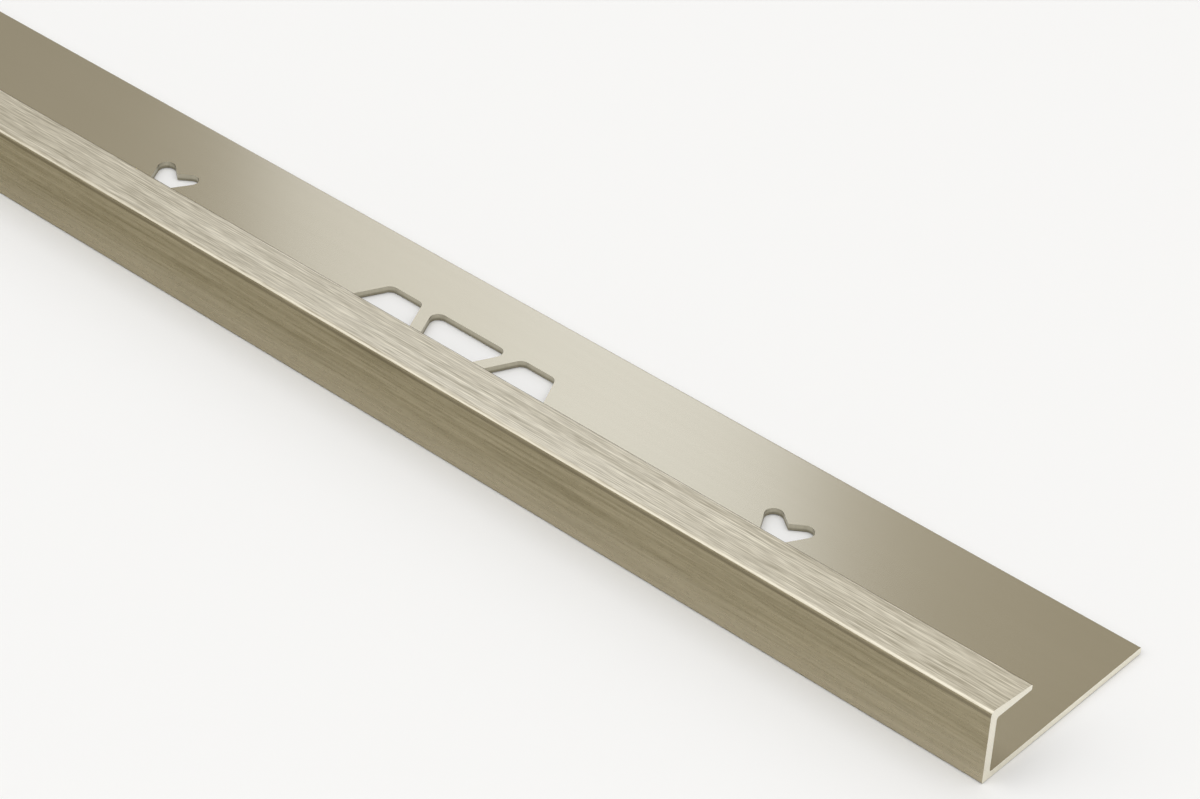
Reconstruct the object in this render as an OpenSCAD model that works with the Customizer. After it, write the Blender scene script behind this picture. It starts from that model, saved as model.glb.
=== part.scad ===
// Tile edge trim: one length of extruded profile with a punched anchoring leg.
// Lies on its leg, X along the length, front face toward -Y, units in millimetres.

/* [Stock] */
// Length that the profile is sold in
stock_length = 2500; // [600:10:3000]

/* [Section] */
// Width from the front face to the back edge of the leg
leg_width = 32; // [28:0.5:50]
// Height from the underside of the leg to the top of the front corner
profile_height = 11; // [8:0.1:16]
// Thickness of the anchoring leg
leg_thickness = 1; // [0.8:0.1:2]
// Thickness of the front wall
wall_thickness = 1.3; // [1:0.1:2.5]
// Depth of the visible flange, measured from the front face
flange_depth = 8; // [6:0.5:10]
// Slope of the flange's top, falling from the front corner to its free edge
flange_slope = 6; // [0:0.5:8]
// Thickness of the flange at its free edge
flange_tip = 0.8; // [0.6:0.1:1.5]
// Radius of the front corner between wall and flange
corner_radius = 0.6; // [0.2:0.05:0.9]
// Radius of the other outer edges
edge_radius = 0.2; // [0.1:0.05:0.25]
// Fillet inside, where leg and flange meet the wall
inner_radius = 0.4; // [0.2:0.1:1]

/* [Punching] */
// Distance between one nail hole and the next
pitch = 114; // [100:1:160]
// Distance from the +X end to the first nail hole
first_hole = 45.7; // [30:0.1:70]
// Depth of the key cut-outs, across the leg
key_depth = 10; // [7:0.5:11]
// Distance from the key cut-outs to the back edge of the leg
back_margin = 9.8; // [8:0.1:13]
// Slant of the sides of the key cut-outs
slant = 25.5; // [15:0.5:30]
// Width of the middle key cut-out at its back side
middle_width = 14.5; // [13:0.1:18]
// Width of each outer key cut-out at its back side
outer_width = 6; // [5:0.1:9]
// Web between two key cut-outs, along the length
web = 2.1; // [1.5:0.1:4]
// Corner radius of the key cut-outs
key_radius = 1.3; // [0.5:0.1:1.6]

/* [Nail hole] */
// Radius of the two lobes
lobe_radius = 1.3; // [1:0.05:1.5]
// Distance between the lobe centres
lobe_spacing = 5; // [4.5:0.1:6.5]
// Distance from the lobe centres to the back edge of the leg
lobe_margin = 11.55; // [10:0.05:14]
// How far the notch stops short of the lobe centres, toward the wall
notch_drop = 0.2; // [0.1:0.1:0.9]
// Slant of the sides of the nail hole
nail_slant = 30; // [20:1:35]
// Radius of the narrow end
tip_radius = 1; // [0.6:0.1:1.3]

/* [Hidden] */
$fn = 48;
// arcs overlap the sides that they are tangent to by this much, so that the two always meet
lap = 0.0005;
front = -leg_width / 2;
back = leg_width / 2;
// the front corner before rounding, so that the rounded corner reaches the height of the profile
corner_top = profile_height + corner_radius * (tan(flange_slope) + 1 / cos(flange_slope) - 1);
tip_top = corner_top - flange_depth * tan(flange_slope);
flange_under = tip_top - flange_tip;
key_back = back - back_margin;
key_front = key_back - key_depth;
key_run = key_depth * tan(slant);
lobe_y = back - lobe_margin;
notch = [0, lobe_y - notch_drop];
lobe = [lobe_spacing / 2, lobe_y];
// number of whole pitches that fit behind the first nail hole
pitches = floor((stock_length - first_hole - lobe_spacing) / pitch);
// the sides of the nail hole are tangent to its lobes and to its narrow end
side_offset = lobe[0] * cos(nail_slant) - lobe_y * sin(nail_slant) + lobe_radius;
tip_y = (tip_radius - side_offset) / sin(nail_slant);
// the notch's sides are tangent to the lobes
notch_reach = norm(lobe - notch);
notch_angle = atan2(lobe[1] - notch[1], lobe[0]) + asin(lobe_radius / notch_reach);
notch_run = sqrt(notch_reach ^ 2 - lobe_radius ^ 2);

// the corners of the section from the bottom front edge round to the inside: [y, z, radius]
section = [
    [front, 0, edge_radius],
    [back, 0, edge_radius],
    [back, leg_thickness, edge_radius],
    [front + wall_thickness, leg_thickness, -inner_radius],
    [front + wall_thickness, flange_under, -inner_radius],
    [front + flange_depth, flange_under, edge_radius],
    [front + flange_depth, tip_top, edge_radius],
    [front, corner_top, corner_radius],
];

function unit(v) = v / norm(v);
function spot(c, i) = let (p = c[(i + len(c)) % len(c)]) [p[0], p[1]];
function ahead(c, i) = unit(spot(c, i + 1) - spot(c, i));
function behind(c, i) = unit(spot(c, i - 1) - spot(c, i));
function half_angle(c, i) = acos(ahead(c, i) * behind(c, i)) / 2;
function setback(c, i) = abs(c[i][2]) / tan(half_angle(c, i));
function centre(c, i) = spot(c, i)
    + unit(ahead(c, i) + behind(c, i)) * abs(c[i][2]) / sin(half_angle(c, i));
function trimmed(c) = [
    for (i = [0 : len(c) - 1])
        for (d = [behind(c, i), ahead(c, i)])
            spot(c, i) + d * setback(c, i)
];

// an outline with a radius at each corner: a negative radius is a fillet on an inside corner
module rounded(c) {
    difference() {
        union() {
            polygon(trimmed(c));
            for (i = [0 : len(c) - 1])
                if (c[i][2] > 0)
                    translate(centre(c, i)) circle(r = c[i][2] + lap);
        }
        for (i = [0 : len(c) - 1])
            if (c[i][2] < 0)
                translate(centre(c, i)) circle(r = lap - c[i][2]);
    }
}

module middle_key() {
    wide = middle_width / 2;
    rounded([
        [-wide, key_back, key_radius],
        [-wide + key_run, key_front, key_radius],
        [wide - key_run, key_front, key_radius],
        [wide, key_back, key_radius],
    ]);
}

module outer_key() {
    near = middle_width / 2 + web;
    far = near + outer_width;
    rounded([
        [near, key_back, key_radius],
        [near - key_run, key_front, key_radius],
        [far + key_run, key_front, key_radius],
        [far, key_back, key_radius],
    ]);
}

module key_group() {
    middle_key();
    outer_key();
    mirror([1, 0]) outer_key();
}

module nail_hole() {
    inner = notch + notch_run * [cos(notch_angle), sin(notch_angle)];
    outer = lobe + lobe_radius * [cos(nail_slant), -sin(nail_slant)];
    tip = [0, tip_y] + tip_radius * [cos(nail_slant), -sin(nail_slant)];
    for (side = [1, -1]) {
        polygon([for (p = [notch, inner, outer, tip, [0, tip_y]]) [side * p[0], p[1]]]);
        translate([side * lobe[0], lobe[1]]) circle(r = lobe_radius + lap);
    }
    translate([0, tip_y]) circle(r = tip_radius + lap);
}

module punching() {
    first = stock_length / 2 - first_hole;
    for (i = [0 : pitches]) {
        translate([first - i * pitch, 0]) nail_hole();
        if (i < pitches)
            translate([first - (i + 0.5) * pitch, 0]) key_group();
    }
}

module edge_trim_profile() {
    color([0.72, 0.69, 0.6])
        difference() {
            rotate([90, 0, 90])
                linear_extrude(stock_length, center = true)
                    rounded(section);
            translate([0, 0, -leg_thickness])
                linear_extrude(3 * leg_thickness)
                    punching();
        }
}

edge_trim_profile();
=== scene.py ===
from math import radians

import bpy
import numpy as np
from mathutils import Matrix, Vector
from mathutils.geometry import delaunay_2d_cdt


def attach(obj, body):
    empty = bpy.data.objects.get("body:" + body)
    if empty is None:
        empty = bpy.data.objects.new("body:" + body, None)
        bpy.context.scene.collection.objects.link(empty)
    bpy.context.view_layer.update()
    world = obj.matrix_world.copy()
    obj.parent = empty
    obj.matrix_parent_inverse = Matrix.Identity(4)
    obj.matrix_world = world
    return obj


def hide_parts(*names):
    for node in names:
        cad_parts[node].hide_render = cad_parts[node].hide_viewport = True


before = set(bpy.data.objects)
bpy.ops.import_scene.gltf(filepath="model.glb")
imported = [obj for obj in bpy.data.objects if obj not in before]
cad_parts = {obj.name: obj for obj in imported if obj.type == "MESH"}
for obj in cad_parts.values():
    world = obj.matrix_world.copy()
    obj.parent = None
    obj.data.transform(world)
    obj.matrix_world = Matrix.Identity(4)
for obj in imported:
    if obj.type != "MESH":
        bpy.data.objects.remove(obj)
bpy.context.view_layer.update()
print("frame loaded")

# sizes in metres, the same as the solid's
trim = {
    "length": 2.5,
    "width": 0.032,  # front face to the back edge of the leg
    "height": 0.011,
    "leg": 0.001,
    "wall": 0.0013,
    "flange": 0.008,
    "flangeSlope": radians(6),
    "flangeTip": 0.0008,
    "cornerR": 0.0006,
    "edgeR": 0.0002,
    "innerR": 0.0004,
    "arcSteps": 8,
    "hold": 0.00004,  # a loop this far from each arc keeps the flats flat
    "flangeShare": 5 / 8,  # share of the front corner's arc that has the flange's finish
    "sharpAngle": radians(35),  # edges that turn more than this stay sharp
}
punch = {
    "firstHole": 0.0457,
    "cell": 0.057,  # half the pitch: each nail hole and each key group sits in its own stretch of leg
    "leastEnd": 0.019,  # least leg without a cell at the far end
    "bandFront": -0.0055,
    "bandBack": 0.0080,
    "keyBack": 0.0062,
    "keyDepth": 0.010,
    "slant": radians(25.5),
    "middleWidth": 0.0145,
    "outerWidth": 0.006,
    "web": 0.0021,
    "keyR": 0.0013,
    "lobeR": 0.0013,
    "lobeX": 0.0025,
    "lobeY": 0.00445,
    "notchDrop": 0.0002,
    "nailSlant": radians(30),
    "tipR": 0.001,
    "arcSteps": 8,
}
flatMap = {  # the map that the finish is laid on
    "gap": 0.0006,  # between one strip and the next, in metres of surface
    "holeRows": 3,  # strips for the walls of a cell's holes
    "sideMargin": 0.004,  # share of the map's width that stays free at each side
    "endsAt": (0.02, 0.4),  # shares of its width at which the two cut ends start
    "holeMargin": 0.03,  # share of a cell's width that stays free at each end of a hole's strip
}
cornerAt = {"foot": 0, "legBack": 2, "lipTop": 6, "frontTop": 7}  # places in the section's list of corners
# the "wall" finish is the flange's brushed metal in darker tones: painted shade
finishAt = {"flange": 0, "leg": 1, "cutEnd": 2, "hole": 3, "wall": 4}  # order of the materials


def roundedCorners(corners, steps):
    # each corner becomes an arc of its radius, tangent to both its sides:
    # the centre is on the bisector, radius / sin(half angle) away from the corner
    spot, radius = corners[:, :2], np.abs(corners[:, 2:])
    back = np.roll(spot, 1, 0) - spot
    ahead = np.roll(spot, -1, 0) - spot
    back /= np.linalg.norm(back, axis=1, keepdims=True)
    ahead /= np.linalg.norm(ahead, axis=1, keepdims=True)
    half = np.arccos((back * ahead).sum(1, keepdims=True)) / 2
    bisector = (back + ahead) / np.linalg.norm(back + ahead, axis=1, keepdims=True)
    centre = spot + bisector * radius / np.sin(half)
    first = spot + back * radius / np.tan(half) - centre
    last = spot + ahead * radius / np.tan(half) - centre
    angle = np.arctan2(first[:, 1], first[:, 0])
    turn = np.arctan2(last[:, 1], last[:, 0]) - angle
    turn = (turn + np.pi) % (2 * np.pi) - np.pi
    a = angle[:, None] + turn[:, None] * np.linspace(0, 1, steps + 1)
    return centre[:, None] + radius[:, None] * np.stack([np.cos(a), np.sin(a)], -1)


def sectionLoop():
    # the outline of the cut end as (y, z), counterclockwise from the bottom front edge:
    # one arc per corner, then four points on the flat that follows it
    front, back, fall = -trim["width"] / 2, trim["width"] / 2, trim["flangeSlope"]
    inside, lip = front + trim["wall"], front + trim["flange"]
    h = trim["height"] + trim["cornerR"] * (np.tan(fall) + 1 / np.cos(fall) - 1)  # before rounding
    lipTop = h - trim["flange"] * np.tan(fall)
    under = lipTop - trim["flangeTip"]
    corners = np.array([
        [front, 0, trim["edgeR"]],
        [back, 0, trim["edgeR"]],
        [back, trim["leg"], trim["edgeR"]],
        [inside, trim["leg"], trim["innerR"]],
        [inside, under, trim["innerR"]],
        [lip, under, trim["edgeR"]],
        [lip, lipTop, trim["edgeR"]],
        [front, h, trim["cornerR"]],
    ])
    arcs = roundedCorners(corners, trim["arcSteps"])
    start, stop = arcs[:, -1], np.roll(arcs[:, 0], -1, 0)
    run = np.linalg.norm(stop - start, axis=1)
    hold = np.minimum(trim["hold"], run / 5) / run  # at most a fifth of a short flat
    share = np.stack([hold, 0 * run + 1 / 3, 0 * run + 2 / 3, 1 - hold], 1)
    # on the leg, below and above, the two middle points bound the punched band
    band = np.array([punch["bandFront"], punch["bandBack"]])
    for k, bounds in ((cornerAt["foot"], band), (cornerAt["legBack"], band[::-1])):
        share[k, 1:3] = (bounds - start[k, 0]) / (stop[k, 0] - start[k, 0])
    flats = start[:, None] + (stop - start)[:, None] * share[..., None]
    return np.concatenate([arcs, flats], 1)


def keyOutlines():
    # a middle trapezium that narrows toward the wall and two outer ones that widen toward it
    run = punch["keyDepth"] * np.tan(punch["slant"])
    back, fore, r = punch["keyBack"], punch["keyBack"] - punch["keyDepth"], punch["keyR"]
    wide = punch["middleWidth"] / 2
    near, far = wide + punch["web"], wide + punch["web"] + punch["outerWidth"]
    middle = np.array([[wide, back, r], [-wide, back, r], [run - wide, fore, r], [wide - run, fore, r]])
    right = np.array([[far, back, r], [near, back, r], [near - run, fore, r], [far + run, fore, r]])
    left = (right * [-1, 1, 1])[::-1]
    return [roundedCorners(c, punch["arcSteps"]).reshape(-1, 2) for c in (middle, right, left)]


def nailOutlines():
    # one hole: two lobes, a notch whose sides are tangent to them,
    # and slanted sides tangent to the lobes and the narrow end
    r, slant, steps = punch["lobeR"], punch["nailSlant"], 2 * punch["arcSteps"]
    lobe = np.array([punch["lobeX"], punch["lobeY"]])
    notch = np.array([0, punch["lobeY"] - punch["notchDrop"]])
    reach = lobe - notch
    rise = np.arctan2(reach[1], reach[0]) + np.arcsin(r / np.hypot(*reach))
    offset = lobe[0] * np.cos(slant) - lobe[1] * np.sin(slant) + r
    tip = np.array([0, (punch["tipR"] - offset) / np.sin(slant)])

    def arc(centre, radius, a0, a1):
        a = np.linspace(a0, a1, steps + 1)
        return centre + radius * np.stack([np.cos(a), np.sin(a)], 1)

    rightLobe = arc(lobe, r, rise + np.pi / 2, -slant)
    narrowEnd = arc(tip, punch["tipR"], -slant, slant - np.pi)
    leftLobe = (rightLobe * [-1, 1])[::-1]
    return [np.concatenate([notch[None], rightLobe, narrowEnd, leftLobe])[::-1]]


def punchedCell(outlines):
    # a rectangle of leg with holes: a constrained Delaunay mesh, less the triangles
    # whose middle lies in a hole; the first four points are the rectangle's corners
    half = punch["cell"] / 2
    y0, y1 = punch["bandFront"], punch["bandBack"]
    flat = np.concatenate([[[-half, y0], [half, y0], [half, y1], [-half, y1]], *outlines])
    starts = np.cumsum([0, 4] + [len(o) for o in outlines])
    rings = [np.arange(a, b) for a, b in zip(starts[:-1], starts[1:])]
    sides = np.concatenate([np.stack([r, np.roll(r, -1)], 1) for r in rings])
    inMillimetres = [Vector(p) for p in flat * 1000]
    # the mesh fills the holes too at first, and points within 1e-6 mm become one
    found = delaunay_2d_cdt(inMillimetres, sides.tolist(), [], 0, 1e-6)
    source = np.array([o[0] for o in found[3]])
    tris = source[np.array(found[2])]
    a, b, c = (flat[tris[:, k]] for k in range(3))
    area = (b[:, 0] - a[:, 0]) * (c[:, 1] - a[:, 1]) - (c[:, 0] - a[:, 0]) * (b[:, 1] - a[:, 1])
    tris = np.where(area[:, None] < 0, tris[:, ::-1], tris)
    # a middle is in a hole if a line from it toward +X crosses the outline an odd number of times
    mid = (a + b + c) / 3
    inHole = np.zeros(len(tris), bool)
    for o in outlines:
        p, q = o[:, None], np.roll(o, -1, 0)[:, None]
        crosses = (p[..., 1] > mid[:, 1]) != (q[..., 1] > mid[:, 1])
        rise = np.where(q[..., 1] == p[..., 1], 1, q[..., 1] - p[..., 1])
        at = p[..., 0] + (q[..., 0] - p[..., 0]) * (mid[:, 1] - p[..., 1]) / rise
        inHole |= (crosses & (mid[:, 0] < at)).sum(0) % 2 == 1
    return flat, tris[~inHole], rings[1:]


def edgeTrim():
    # the section carried along X, with the punched stretches of the leg let into it
    loop = sectionLoop()
    perCorner = loop.shape[1]
    ring = loop.reshape(-1, 2)
    n = len(ring)
    half = trim["length"] / 2
    first = half - punch["firstHole"] + punch["cell"] / 2
    cells = int((first + half - punch["leastEnd"]) / punch["cell"])
    cells -= 1 - cells % 2  # ends on a nail hole
    edges = first - punch["cell"] * np.arange(cells, -1, -1)
    x = np.concatenate([[-half], edges, [half]])
    spans = len(x) - 1

    grid = np.empty((len(x), n, 3))
    grid[..., 0] = x[:, None]
    grid[..., 1:] = ring
    verts = [grid.reshape(-1, 3)]

    # lengths round the section and along X, for the map that the finish is laid on
    step = np.linalg.norm(np.roll(ring, -1, 0) - ring, axis=1)
    around = np.concatenate([[0], np.cumsum(step)])
    gap, side = flatMap["gap"], flatMap["sideMargin"]
    holeRow = trim["leg"] + gap
    holeBase = around[-1] + 2 * gap
    endBase = holeBase + flatMap["holeRows"] * holeRow + gap
    tall = endBase + trim["height"] + gap

    def mapU(along):
        return side + (1 - 2 * side) * (along + half) / trim["length"]

    def mapV(length):
        return (length + gap) / (tall + gap)

    i, j = np.meshgrid(np.arange(spans), np.arange(n), indexing="ij")
    bandPart = trim["arcSteps"] + 2  # the second of the four points on a flat
    topFlat = cornerAt["legBack"] * perCorner + bandPart
    lowFlat = cornerAt["foot"] * perCorner + bandPart
    punched = ((j == topFlat) | (j == lowFlat)) & (i > 0) & (i < spans - 1)
    i, j = i[~punched], j[~punched]
    near, far, after = i * n, (i + 1) * n, (j + 1) % n
    faces = [np.stack([near + j, near + after, far + after, far + j], 1)]
    uFrom, uTo, vFrom, vTo = mapU(x[i]), mapU(x[i + 1]), mapV(around[j]), mapV(around[j + 1])
    maps = [np.stack([[uFrom, vFrom], [uFrom, vTo], [uTo, vTo], [uTo, vFrom]]).transpose(2, 0, 1)]
    k, part = j // perCorner, j % perCorner
    onArc = part < trim["arcSteps"]
    onFront = (k == cornerAt["frontTop"]) & (part >= trim["flangeShare"] * trim["arcSteps"])
    onFoot = (k == cornerAt["foot"]) & onArc
    lipShaded = (k == cornerAt["lipTop"]) & onArc  # painted shade: the flange's free edge takes the wall's darker finish and its dark line
    onTop = (k == cornerAt["lipTop"]) | (k == cornerAt["frontTop"])
    asShadedWall = onFront | onFoot | lipShaded
    finish = [np.select([asShadedWall, onTop], [finishAt["wall"], finishAt["flange"]], finishAt["leg"])]

    # the two cut ends
    end = np.arange(n)
    across = (ring[:, 0] + trim["width"] / 2) / (tall + gap)
    for rowStart, order, u0 in zip((0, spans * n), (-1, 1), flatMap["endsAt"]):
        faces.append((rowStart + end[::order])[None])
        maps.append(np.stack([u0 + across, mapV(endBase + ring[:, 1])], 1)[::order][None])
        finish.append(np.array([finishAt["cutEnd"]]))

    # punched stretches: nail holes and key groups take turns
    used = len(verts[0])
    for kind, outlines in enumerate((nailOutlines(), keyOutlines())):
        flat, tris, rings = punchedCell(outlines)
        which = np.arange(kind, cells, 2) + 1  # the spans that hold this kind
        outline = flat[4:]  # the sweep already has the rectangle's corners
        count, own = len(which), len(outline)
        middle = (x[which] + x[which + 1]) / 2
        near, far = which * n, (which + 1) * n
        # upper and lower face: height, where the band's two sides are in the section, winding
        sheets = ((trim["leg"], topFlat + 1, topFlat, 1), (0.0, lowFlat, lowFlat + 1, -1))
        index = []
        for z, foreJ, backJ, order in sheets:
            pts = np.empty((count, own, 3))
            pts[..., 0] = middle[:, None] + outline[:, 0]
            pts[..., 1] = outline[:, 1]
            pts[..., 2] = z
            verts.append(pts.reshape(-1, 3))
            held = np.stack([near + foreJ, far + foreJ, far + backJ, near + backJ], 1)
            number = np.concatenate([held, used + np.arange(count * own).reshape(count, own)], 1)
            used += count * own
            index.append(number)
            turned = tris[:, ::order]
            faces.append(number[:, turned].reshape(-1, 3))
            # distance round the section is linear in y on the leg's flats
            share = (flat[:, 1] - punch["bandBack"]) / (punch["bandFront"] - punch["bandBack"])
            v = mapV(around[backJ] + (around[foreJ] - around[backJ]) * share)
            u = mapU(middle[:, None] + flat[:, 0])
            uv = np.stack([u, np.broadcast_to(v, u.shape)], -1)
            maps.append(uv[:, turned].reshape(-1, 3, 2))
            finish.append(np.full(count * len(tris), finishAt["leg"]))
        top, low = index
        for row, hole in enumerate(rings):
            after = np.roll(hole, -1)
            quads = np.stack([top[:, hole], top[:, after], low[:, after], low[:, hole]], -1)
            faces.append(quads.reshape(-1, 4))
            length = np.linalg.norm(flat[after] - flat[hole], axis=1)
            share = np.concatenate([[0], np.cumsum(length)]) / length.sum()
            share = flatMap["holeMargin"] + (1 - 2 * flatMap["holeMargin"]) * share
            u = mapU(x[which][:, None] + punch["cell"] * share)
            v = mapV(holeBase + row * holeRow + np.array([trim["leg"], 0]))
            corner = np.empty((count, len(hole), 4, 2))
            corner[..., 0, 0] = corner[..., 3, 0] = u[:, :-1]
            corner[..., 1, 0] = corner[..., 2, 0] = u[:, 1:]
            corner[..., :2, 1], corner[..., 2:, 1] = v
            maps.append(corner.reshape(-1, 4, 2))
            finish.append(np.full(count * len(hole), finishAt["hole"]))

    mesh = bpy.data.meshes.new("edgeTrim")
    mesh.from_pydata(np.concatenate(verts).tolist(), [], [f for block in faces for f in block.tolist()])
    places = np.concatenate([m.reshape(-1, 2) for m in maps]).astype(np.float32)
    mesh.uv_layers.new(name="OFBake").uv.foreach_set("vector", places.ravel())
    mesh.polygons.foreach_set("material_index", np.concatenate(finish).astype(np.int32))
    mesh.shade_smooth()
    mesh.set_sharp_from_angle(angle=trim["sharpAngle"])
    mesh.validate()
    mesh.update()
    piece = bpy.data.objects.new("edgeTrim", mesh)
    bpy.context.scene.collection.objects.link(piece)
    print("trim made:", len(mesh.vertices), "points,", len(mesh.polygons), "faces")
    return piece


def addNode(tree, kind, values=(), **settings):
    made = tree.nodes.new(kind)
    for name, value in settings.items():
        setattr(made, name, value)
    for socket, value in dict(values).items():
        made.inputs[socket].default_value = value
    return made


def mixColour(tree, factor, a, b):
    # a is a colour or another node's output; an RGBA mix has its colours in sockets 6 and 7
    made = addNode(tree, "ShaderNodeMix", {7: (*b, 1)}, data_type="RGBA")
    tree.links.new(factor, made.inputs[0])
    if isinstance(a, tuple):
        made.inputs[6].default_value = (*a, 1)
    else:
        tree.links.new(a, made.inputs[6])
    return made.outputs[2]


def remap(tree, value, low, high, toLow, toHigh):
    made = addNode(tree, "ShaderNodeMapRange", {1: low, 2: high, 3: toLow, 4: toHigh})
    tree.links.new(value, made.inputs[0])
    return made.outputs[0]


def addUp(tree, *pairs):
    # the sum of each value times its share
    total = None
    for value, share in pairs:
        made = addNode(tree, "ShaderNodeMath", {1: share, 2: 0.0}, operation="MULTIPLY_ADD")
        tree.links.new(value, made.inputs[0])
        if total:
            tree.links.new(total, made.inputs[2])
        total = made.outputs[0]
    return total


grainMarks = {  # for each kind of mark: times the scale along, times the scale across, detail
    "Band": (0.3, 0.3, 1.0),
    "Streak": (0.35, 1.0, 1.5),
    "Hairline": (3.5, 1.3, 1.5),
}


def metalGrainGroup():
    # marks drawn out along X: broad bands, long streaks and short hairlines, and a slow cloudiness
    tree = bpy.data.node_groups.new("metalGrain", "ShaderNodeTree")
    face = tree.interface
    face.new_socket(name="Vector", in_out="INPUT", socket_type="NodeSocketVector")
    for name, usual in (("Along", 120.0), ("Across", 3000.0)):
        face.new_socket(name=name, in_out="INPUT", socket_type="NodeSocketFloat").default_value = usual
    for name in (*grainMarks, "Cloud"):
        face.new_socket(name=name, in_out="OUTPUT", socket_type="NodeSocketFloat")
    given, put = addNode(tree, "NodeGroupInput"), addNode(tree, "NodeGroupOutput")
    stretch = addNode(tree, "ShaderNodeCombineXYZ")
    for axis, name in enumerate(("Along", "Across", "Across")):
        tree.links.new(given.outputs[name], stretch.inputs[axis])
    drawn = addNode(tree, "ShaderNodeVectorMath", operation="MULTIPLY")
    tree.links.new(given.outputs["Vector"], drawn.inputs[0])
    tree.links.new(stretch.outputs[0], drawn.inputs[1])
    for name, (along, across, detail) in grainMarks.items():
        sized = addNode(tree, "ShaderNodeVectorMath", {1: (along, across, across)}, operation="MULTIPLY")
        noise = addNode(tree, "ShaderNodeTexNoise", {"Scale": 1.0, "Detail": detail, "Roughness": 0.6})
        tree.links.new(drawn.outputs[0], sized.inputs[0])
        tree.links.new(sized.outputs[0], noise.inputs["Vector"])
        tree.links.new(noise.outputs[0], put.inputs[name])
    slow = addNode(tree, "ShaderNodeTexNoise", {"Scale": 14.0, "Detail": 2.0, "Roughness": 0.5})
    tree.links.new(given.outputs["Vector"], slow.inputs["Vector"])
    tree.links.new(slow.outputs[0], put.inputs["Cloud"])
    return tree


metalGrain = metalGrainGroup()

brushedFlange = {
    "name": "brushedFlange",
    "dark": (0.418, 0.377, 0.278),
    "light": (0.915, 0.867, 0.737),
    "along": 80.0,
    "across": 4800.0,
    "marks": (0.40, 0.46, 0.14),  # shares of long streaks, short hairlines and broad bands
    "roughness": (0.34, 0.46),
    "anisotropic": 0.6,
    "bump": 0.000006,
    "edgeTint": 1.0,
    "paintedLight": (0.62, 0.585, 0.498),  # painted highlight along the front corner
    "cornerHighlight": 0.6,
    "footLight": 0.0,
    "shadeLine": 0.0,
}
# painted shade: the front wall has the same brushed metal as the flange, in darker tones
shadedBrushedWall = {
    "name": "shadedBrushedWall",
    "dark": (0.288, 0.249, 0.160),
    "light": (0.418, 0.366, 0.250),
    "along": 170.0,
    "across": 2200.0,
    "marks": (0.58, 0.22, 0.20),
    "roughness": (0.24, 0.34),
    "anisotropic": 0.5,
    "bump": 0.000004,
    "edgeTint": 0.0,
    "paintedLight": (0.575, 0.515, 0.385),
    "cornerHighlight": 0.0,
    "footLight": 0.65,  # painted light: lighter toward the lower edge
    "shadeLine": 0.5,  # painted shade: a darker line just below the corner
}
brushing = {  # the same on both; lengths in metres
    "contrast": (0.36, 0.64),  # marks of these strengths are all dark and all light
    "hairlines": (0.3, 0.7),  # and of these the smoothest and the roughest
    "cornerFrom": 0.0006,  # the corner's painted highlight starts this far in
    "cornerFull": 0.0001,
    "cornerBreak": 0.0003,  # how far the bands shift its edge
    "footFrom": 0.0075,  # the foot's painted light starts at this height
    "footFull": 0.0025,
    "footBreak": 0.004,
    "lineDrop": 0.00068,  # the painted shade line lies this far below the top
    "lineHalf": (0.00016, 0.00034),  # half its width, full and faded
    "shadeLineColour": (0.12, 0.10, 0.065),
    "turn": 0.25,  # a quarter turn: the light spreads across the marks
}
satinNickel = {
    "dark": (0.398, 0.356, 0.252),
    "light": (0.430, 0.386, 0.278),
    "along": 12.0,
    "across": 900.0,
    "marks": (0.85, 0.15),  # shares of cloud and streaks
    "contrast": (0.35, 0.65),
    "clouds": (0.3, 0.7),  # strengths of cloud that are the smoothest and the roughest
    "roughness": (0.15, 0.19),
    "bump": 0.0000003,
    "coat": 0.5,  # the clear anodised layer over the satin metal
    "coatRoughness": 0.13,
    "coatIor": 1.6,
    "corner": (0.25, 0.215, 0.135),  # painted shade in the inner corner of the channel
    "cornerShadeShare": 0.65,
    "cornerShadeReach": 0.0055,
    "cornerBreak": 0.001,  # how far the cloud shifts its edge
    "cornerShadeAbove": (0.8, 0.9),  # shares of the leg's thickness, which keep it off the underside
}
sawnAluminium = {
    "dark": (0.84, 0.80, 0.68),
    "light": (0.95, 0.92, 0.82),
    "roughness": (0.40, 0.55),
    "toothAngle": radians(24),
    "teeth": {"Scale": 900.0, "Distortion": 3.0, "Detail": 2.0, "Detail Scale": 0.4},
    "bump": 0.000006,
}
shearedNickel = {
    "dark": (0.30, 0.276, 0.204),
    "light": (0.50, 0.466, 0.366),
    "roughness": (0.35, 0.60),
    "breakHeight": 0.00038,  # below this the punched wall is torn, above it is burnished
    "breakSpread": (0.7, 1.3),
    "scores": (4000, 4000, 250),  # scales of the upright scores
    "marks": (0.6, 0.5),  # shares of burnish and scores
    "bump": 0.000006,
}


def startMaterial(name):
    material = bpy.data.materials.new(name)
    material.use_nodes = True
    tree = material.node_tree
    shader = tree.nodes["Principled BSDF"]
    shader.inputs["Metallic"].default_value = 1.0
    place = addNode(tree, "ShaderNodeTexCoord").outputs["Object"]
    return material, tree, shader, place


def addBump(tree, shader, height, distance):
    bump = addNode(tree, "ShaderNodeBump", {"Strength": 1.0, "Distance": distance})
    tree.links.new(height, bump.inputs["Height"])
    tree.links.new(bump.outputs[0], shader.inputs["Normal"])


def grainOf(tree, place, finish):
    grain = addNode(tree, "ShaderNodeGroup", node_tree=metalGrain)
    grain.inputs["Along"].default_value = finish["along"]
    grain.inputs["Across"].default_value = finish["across"]
    tree.links.new(place, grain.inputs["Vector"])
    return grain


def axesOf(tree, place):
    split = addNode(tree, "ShaderNodeSeparateXYZ")
    tree.links.new(place, split.inputs[0])
    return split.outputs


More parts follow.
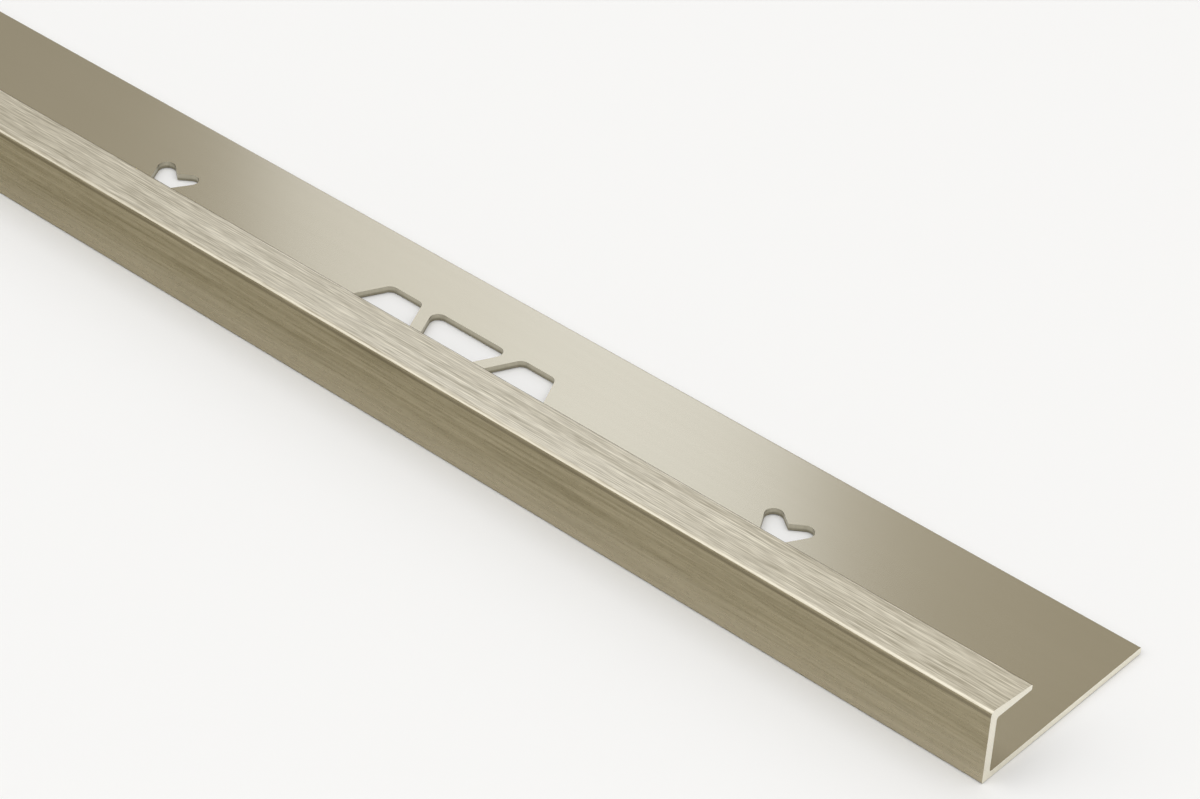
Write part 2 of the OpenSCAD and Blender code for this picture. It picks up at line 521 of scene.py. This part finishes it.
def brushedMaterial(finish):
    material, tree, shader, place = startMaterial(finish["name"])
    grain = grainOf(tree, place, finish)
    streak, hairline, band = (grain.outputs[k] for k in ("Streak", "Hairline", "Band"))
    marks = addUp(tree, *zip((streak, hairline, band), finish["marks"]))
    tone = remap(tree, marks, *brushing["contrast"], 0.0, 1.0)
    colour = mixColour(tree, tone, finish["dark"], finish["light"])
    # painted highlight along the corner, where z - y is largest, and painted light low on the wall;
    # both break up along the marks
    y, z = axesOf(tree, place)[1:]
    out = addUp(tree, (z, 1.0), (y, -1.0), (band, brushing["cornerBreak"]))
    peak = trim["height"] + trim["width"] / 2
    start, full = peak - brushing["cornerFrom"], peak - brushing["cornerFull"]
    corner = remap(tree, out, start, full, 0.0, finish["cornerHighlight"])
    low = addUp(tree, (z, 1.0), (band, brushing["footBreak"]))
    foot = remap(tree, low, brushing["footFrom"], brushing["footFull"], 0.0, finish["footLight"])
    # mixes in the painted highlight at the corner and the painted light at the foot
    colour = mixColour(tree, addUp(tree, (corner, 1.0), (foot, 1.0)), colour, finish["paintedLight"])
    # painted shade: the dark line is strongest where the height differs least from its own
    lineHeight = trim["height"] - brushing["lineDrop"]
    apart = addNode(tree, "ShaderNodeMath", {1: lineHeight}, operation="SUBTRACT")
    tree.links.new(z, apart.inputs[0])
    away = addNode(tree, "ShaderNodeMath", operation="ABSOLUTE")
    tree.links.new(apart.outputs[0], away.inputs[0])
    line = remap(tree, away.outputs[0], *brushing["lineHalf"], finish["shadeLine"], 0.0)
    colour = mixColour(tree, line, colour, brushing["shadeLineColour"])
    tree.links.new(colour, shader.inputs["Base Color"])
    roughness = remap(tree, hairline, *brushing["hairlines"], *finish["roughness"])
    tree.links.new(roughness, shader.inputs["Roughness"])
    shader.inputs["Specular Tint"].default_value = (*[finish["edgeTint"]] * 3, 1)
    shader.inputs["Anisotropic"].default_value = finish["anisotropic"]
    shader.inputs["Anisotropic Rotation"].default_value = brushing["turn"]
    way = addNode(tree, "ShaderNodeTangent", direction_type="UV_MAP", uv_map="OFBake")
    tree.links.new(way.outputs[0], shader.inputs["Tangent"])
    addBump(tree, shader, marks, finish["bump"])
    return material


def satinMaterial(finish):
    material, tree, shader, place = startMaterial("satinNickel")
    grain = grainOf(tree, place, finish)
    cloud, streak = grain.outputs["Cloud"], grain.outputs["Streak"]
    marks = addUp(tree, *zip((cloud, streak), finish["marks"]))
    tone = remap(tree, marks, *finish["contrast"], 0.0, 1.0)
    colour = mixColour(tree, tone, finish["dark"], finish["light"])
    # painted shade: the inner corner, where y + z is smallest above the leg, is darkened
    y, z = axesOf(tree, place)[1:]
    out = addUp(tree, (y, 1.0), (z, 1.0), (cloud, finish["cornerBreak"]))
    inner = trim["wall"] + trim["leg"] - trim["width"] / 2
    corner = remap(tree, out, inner, inner + finish["cornerShadeReach"], finish["cornerShadeShare"], 0.0)
    low, high = (trim["leg"] * share for share in finish["cornerShadeAbove"])
    above = remap(tree, z, low, high, 0.0, 1.0)
    cornerShadeAmount = addNode(tree, "ShaderNodeMath", operation="MULTIPLY")
    tree.links.new(corner, cornerShadeAmount.inputs[0])
    tree.links.new(above, cornerShadeAmount.inputs[1])
    colour = mixColour(tree, cornerShadeAmount.outputs[0], colour, finish["corner"])
    tree.links.new(colour, shader.inputs["Base Color"])
    tree.links.new(remap(tree, cloud, *finish["clouds"], *finish["roughness"]), shader.inputs["Roughness"])
    shader.inputs["Coat Weight"].default_value = finish["coat"]
    shader.inputs["Coat Roughness"].default_value = finish["coatRoughness"]
    shader.inputs["Coat IOR"].default_value = finish["coatIor"]
    addBump(tree, shader, streak, finish["bump"])
    return material


def sawnMaterial(finish):
    # tooth marks cross the cut end at a slant
    material, tree, shader, place = startMaterial("sawnAluminium")
    turn = addNode(tree, "ShaderNodeMapping", {"Rotation": (finish["toothAngle"], 0, 0)})
    tree.links.new(place, turn.inputs["Vector"])
    teeth = addNode(tree, "ShaderNodeTexWave", finish["teeth"], bands_direction="Y")
    tree.links.new(turn.outputs[0], teeth.inputs["Vector"])
    depth = teeth.outputs["Fac"]
    tree.links.new(mixColour(tree, depth, finish["dark"], finish["light"]), shader.inputs["Base Color"])
    tree.links.new(remap(tree, depth, 0.0, 1.0, *finish["roughness"]), shader.inputs["Roughness"])
    addBump(tree, shader, depth, finish["bump"])
    return material


def shearedMaterial(finish):
    # fine upright scores, and a rougher, darker break toward the lower face
    material, tree, shader, place = startMaterial("shearedNickel")
    upright = addNode(tree, "ShaderNodeMapping", {"Scale": finish["scores"]})
    tree.links.new(place, upright.inputs["Vector"])
    scores = addNode(tree, "ShaderNodeTexNoise", {"Scale": 1.0, "Detail": 2.0})
    tree.links.new(upright.outputs[0], scores.inputs["Vector"])
    low, high = (finish["breakHeight"] * share for share in finish["breakSpread"])
    burnished = remap(tree, axesOf(tree, place)[2], low, high, 0.0, 1.0)
    tone = addUp(tree, *zip((burnished, scores.outputs[0]), finish["marks"]))
    tree.links.new(mixColour(tree, tone, finish["dark"], finish["light"]), shader.inputs["Base Color"])
    tree.links.new(remap(tree, burnished, 1.0, 0.0, *finish["roughness"]), shader.inputs["Roughness"])
    addBump(tree, shader, scores.outputs[0], finish["bump"])
    return material


profile = edgeTrim()
for material in (  # in the order of finishAt
    brushedMaterial(brushedFlange),
    satinMaterial(satinNickel),
    sawnMaterial(sawnAluminium),
    shearedMaterial(shearedNickel),
    brushedMaterial(shadedBrushedWall),
):
    profile.data.materials.append(material)
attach(profile, "root")
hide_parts("edge_trim_profile")
print("finishes laid on")

studio = {
    "floorColour": (0.875, 0.885, 0.904),
    "floorRoughness": 0.9,
    "floorHalf": 9.0,
    "floorDrop": 0.0001,  # just below the leg
    "sky": (0.67, 0.64, 0.58),
    "horizon": (0.42, 0.40, 0.362),
    "rise": (0.1, 0.55),  # sines of the heights between which the room brightens
}
panels = {
    "overhead": {
        "at": (3.9, -2.0, 6.0),
        "aim": (3.9, -2.0, 0),
        "size": (12.0, 10.0),
        "level": 0.80,
        "colour": (1, 1.02, 1.06),
    },
    "frontPanel": {
        "at": (-3.05, -4.44, 4.38),
        "aim": (1.15, 0, 0),
        "size": (6.4, 6.4),
        "level": 1.08,
        "colour": (1, 1.02, 1.06),
        "spread": radians(80),
    },
    "backPanel": {
        "at": (-3.398, 5.595, 5.40),
        "aim": (1.165, 0, 0),
        "size": (0.93, 3.3),
        "level": 1.16,
        "colour": (0.85, 0.955, 1.22),
    },
    "sidePanel": {
        "at": (-3.99, 5.07, 5.40),
        "aim": (1.165, 0, 0),
        "size": (0.68, 3.3),
        "level": 0.95,
        "colour": (0.87, 0.96, 1.19),
    },
}


def softPanel(name, spec):
    # an area lamp of even brightness: power = pi x area x level, less where its spread is narrowed
    lamp = bpy.data.lights.new(name, "AREA")
    lamp.shape = "RECTANGLE"
    lamp.size, lamp.size_y = spec["size"]
    lamp.spread = spec.get("spread", np.pi)
    half = lamp.spread / 2
    lamp.energy = np.pi * lamp.size * lamp.size_y * spec["level"] * (1 - half / np.tan(half))
    lamp.color = spec["colour"]
    holder = bpy.data.objects.new(name, lamp)
    holder.location = spec["at"]
    toward = Vector(spec["aim"]) - Vector(spec["at"])
    holder.rotation_euler = toward.to_track_quat("-Z", "Y").to_euler()
    holder.visible_camera = False
    bpy.context.scene.collection.objects.link(holder)


for name, spec in panels.items():
    softPanel(name, spec)

# the room is dim round the horizon and brighter from about 33 degrees up
world = bpy.data.worlds.new("studio")
world.use_nodes = True
worldTree = world.node_tree
direction = addNode(worldTree, "ShaderNodeTexCoord").outputs["Generated"]
rise = remap(worldTree, axesOf(worldTree, direction)[2], *studio["rise"], 0.0, 1.0)
roomColour = mixColour(worldTree, rise, studio["horizon"], studio["sky"])
worldTree.links.new(roomColour, worldTree.nodes["Background"].inputs["Color"])
bpy.context.scene.world = world

reach, drop = studio["floorHalf"], -studio["floorDrop"]
corners = [(-reach, -reach, drop), (reach, -reach, drop), (reach, reach, drop), (-reach, reach, drop)]
floorMesh = bpy.data.meshes.new("floor")
floorMesh.from_pydata(corners, [], [(0, 1, 2, 3)])
floor = bpy.data.objects.new("floor", floorMesh)
bpy.context.scene.collection.objects.link(floor)
floorMaterial = bpy.data.materials.new("paleFloor")
floorMaterial.use_nodes = True
floorShader = floorMaterial.node_tree.nodes["Principled BSDF"]
floorShader.inputs["Base Color"].default_value = (*studio["floorColour"], 1)
floorShader.inputs["Roughness"].default_value = studio["floorRoughness"]
floorShader.inputs["Specular IOR Level"].default_value = 0.0
floorMesh.materials.append(floorMaterial)
print("studio set")

# camera fitted to the photograph's long edges, cut end and cut-outs
view = {
    "eye": (1.399324, -0.260683, 0.263453),
    "right": (0.74126, 0.67029, 0.03541),
    "up": (-0.42186, 0.42419, 0.80131),
    "lens": 100.03,
    "sensor": 36,
    "clip": (0.01, 50),
}
camera = bpy.data.cameras.new("camera")
camera.sensor_fit = "HORIZONTAL"
camera.sensor_width = view["sensor"]
camera.lens = view["lens"]
camera.clip_start, camera.clip_end = view["clip"]
holder = bpy.data.objects.new("camera", camera)
right, up = Vector(view["right"]).normalized(), Vector(view["up"]).normalized()
facing = Matrix((right, up, right.cross(up))).transposed().to_4x4()
holder.matrix_world = Matrix.Translation(view["eye"]) @ facing
bpy.context.scene.collection.objects.link(holder)
bpy.context.scene.camera = holder
bpy.context.scene.view_settings.view_transform = "Standard"
